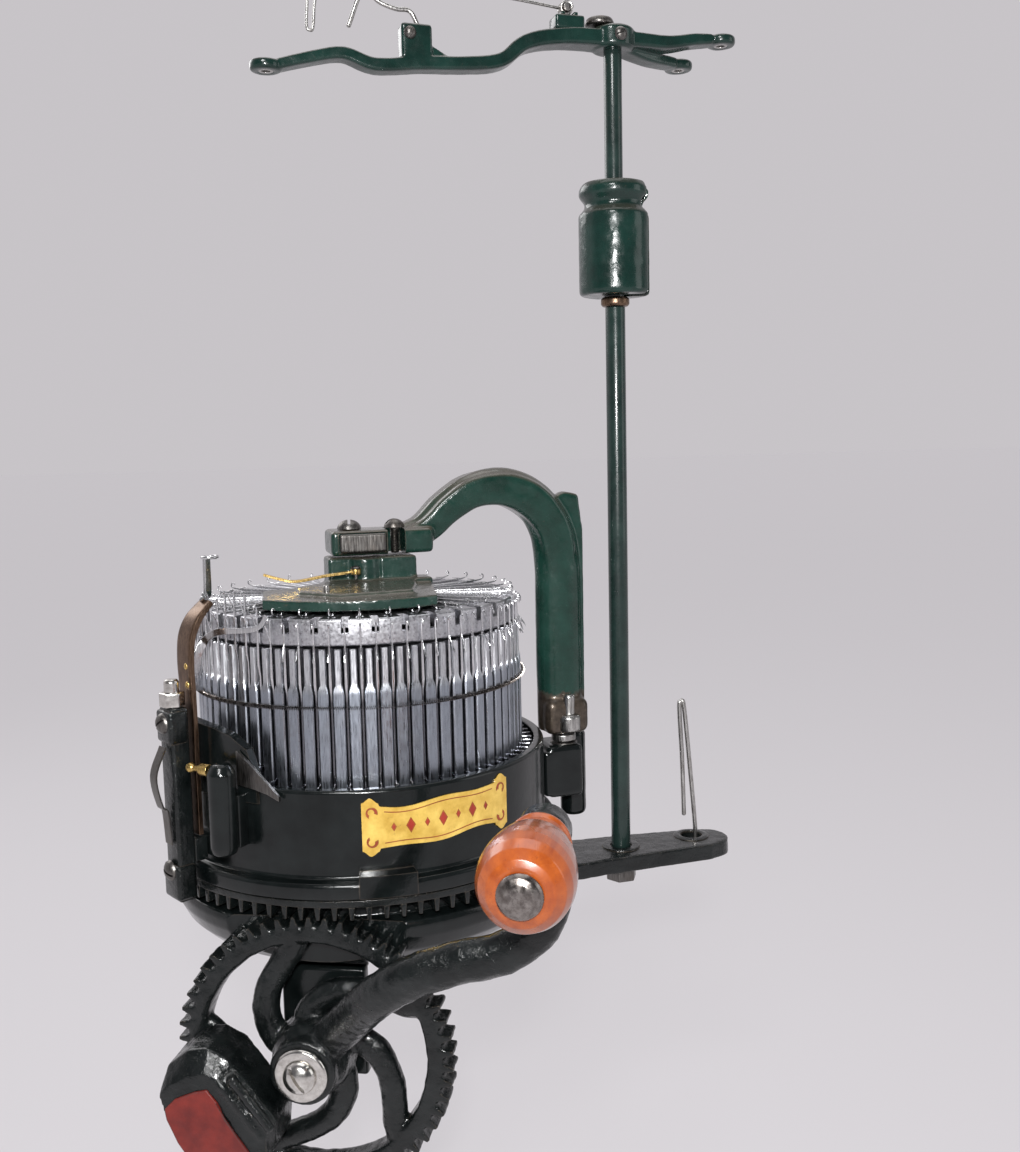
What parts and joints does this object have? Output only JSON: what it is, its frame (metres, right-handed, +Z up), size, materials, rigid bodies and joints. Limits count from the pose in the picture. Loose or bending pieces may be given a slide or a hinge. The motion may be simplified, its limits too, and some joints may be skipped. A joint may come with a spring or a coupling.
{
  "type": "circular knitting machine",
  "caption": "Hand-cranked circular sock-knitting machine with slotted needle cylinder, turning cam drum, ribbing dial on a lift-off arm, yarn mast and crank wheel.",
  "frame": {"origin": "on the flat underside of the base bar, where the machine is clamped to its table", "axes": "+Z up along the needle cylinder and mast, -X along the bar from the mast to the cylinder, +Y to the rear"},
  "size_m": [0.2254, 0.2331, 0.3926],
  "materials": {
    "black_japan": "gloss",
    "green_enamel": "worn gloss",
    "steel": "satin",
    "dark_steel": "satin",
    "nickel": "gloss",
    "brass": "worn",
    "bronze": "patinated",
    "varnished_wood": "gloss varnish",
    "gilt": "satin"
  },
  "bodies": {
    "base": {"base_casting": "black_japan", "mast_foot_nut": "dark_steel", "mast_lower_rod": "green_enamel", "mast_collar": "brass", "mast_upper_rod": "green_enamel", "top_bracket": "green_enamel", "bracket_set_screw": "dark_steel", "take_up_block": "green_enamel", "take_up_cap": "dark_steel", "hook_wire": "steel", "hook_screw": "dark_steel", "bobbin_pin": "steel", "cylinder": "steel", "cylinder_screw_1": "dark_steel", "cylinder_screw_2": "dark_steel", "cylinder_screw_3": "dark_steel", "needle_ring": "steel", "garter_spring": "nickel", "wheel_hanger": "black_japan", "wheel_stud": "steel"},
    "weight": {"cast_weight": "green_enamel"},
    "take_up": {"take_up_wire": "steel"},
    "cam_drum": {"cam_drum": "black_japan", "gear_ring": "black_japan", "raising_cam": "dark_steel", "left_stitch_cam": "dark_steel", "right_stitch_cam": "dark_steel", "name_plate": "gilt", "shield_plate": "bronze", "arm_socket": "black_japan", "carrier_bar": "black_japan", "bar_foot": "black_japan", "bar_screw_upper": "dark_steel", "bar_screw_lower": "dark_steel", "leaf_spring": "steel", "clamp_bolt": "nickel", "tension_post": "black_japan"},
    "tension_pin": {"adjusting_pin": "brass"},
    "yarn_carrier": {"yarn_carrier": "bronze", "latch_guard": "nickel", "guide_strip": "steel"},
    "rib_arm": {"rib_arm": "green_enamel", "rib_arm_pin": "steel", "pin_collar": "dark_steel", "fork_screw_left": "dark_steel", "fork_screw_right": "dark_steel", "clamp_plate": "steel", "rib_cam_plate": "green_enamel", "dial_stud": "steel"},
    "cam_lever": {"cam_lever": "brass"},
    "dial": {"dial": "steel", "dial_needles": "steel", "dial_nut": "dark_steel", "dial_dog": "dark_steel"},
    "crank": {"crank_wheel": "black_japan", "counterweight": "black_japan", "hub_washer": "nickel", "hub_screw": "nickel", "handle_spindle": "dark_steel"},
    "handle": {"handle": "varnished_wood"}
  },
  "joints": [
    {"name": "drum_spin", "type": "hinge", "parent": "base", "child": "cam_drum", "pos_m": [-0.116, 0, 0.026], "axis": [0, 0, 1], "continuous": true},
    {"name": "crank_spin", "type": "hinge", "parent": "base", "child": "crank", "pos_m": [-0.14493, -0.05932, -0.0235], "axis": [-0.4384, -0.8988, 0], "continuous": true},
    {"name": "handle_spin", "type": "hinge", "parent": "crank", "child": "handle", "pos_m": [-0.0879, -0.11896, 0.0593], "axis": [-0.4384, -0.8988, 0], "continuous": true},
    {"name": "dial_turn", "type": "hinge", "parent": "rib_arm", "child": "dial", "pos_m": [-0.116, 0, 0.108], "axis": [0, 0, 1], "continuous": true},
    {"name": "rib_arm_lift", "type": "slide", "parent": "cam_drum", "child": "rib_arm", "axis": [0, 0, 1], "range_m": [0, 0.02]},
    {"name": "cam_lever_swing", "type": "hinge", "parent": "rib_arm", "child": "cam_lever", "pos_m": [-0.119, -0.0119, 0.1224], "axis": [0, 0, 1], "range_deg": [0, 35]},
    {"name": "carrier_height", "type": "slide", "parent": "cam_drum", "child": "yarn_carrier", "axis": [0, 0, 1], "range_m": [0, 0.004]},
    {"name": "tension_pin_slide", "type": "slide", "parent": "cam_drum", "child": "tension_pin", "axis": [-0.6691, 0.7431, 0], "range_m": [0, 0.003]},
    {"name": "weight_lift", "type": "slide", "parent": "base", "child": "weight", "axis": [0, 0, 1], "range_m": [0, 0.043]},
    {"name": "take_up_swing", "type": "hinge", "parent": "base", "child": "take_up", "pos_m": [-0.034, 0, 0.3195], "axis": [0, 1, 0], "range_deg": [0, 20]}
  ],
  "couplings": [
    {"joint": "crank_spin", "follows": "drum_spin", "ratio": -1.4815},
    {"joint": "dial_turn", "follows": "drum_spin", "ratio": -1}
  ]
}
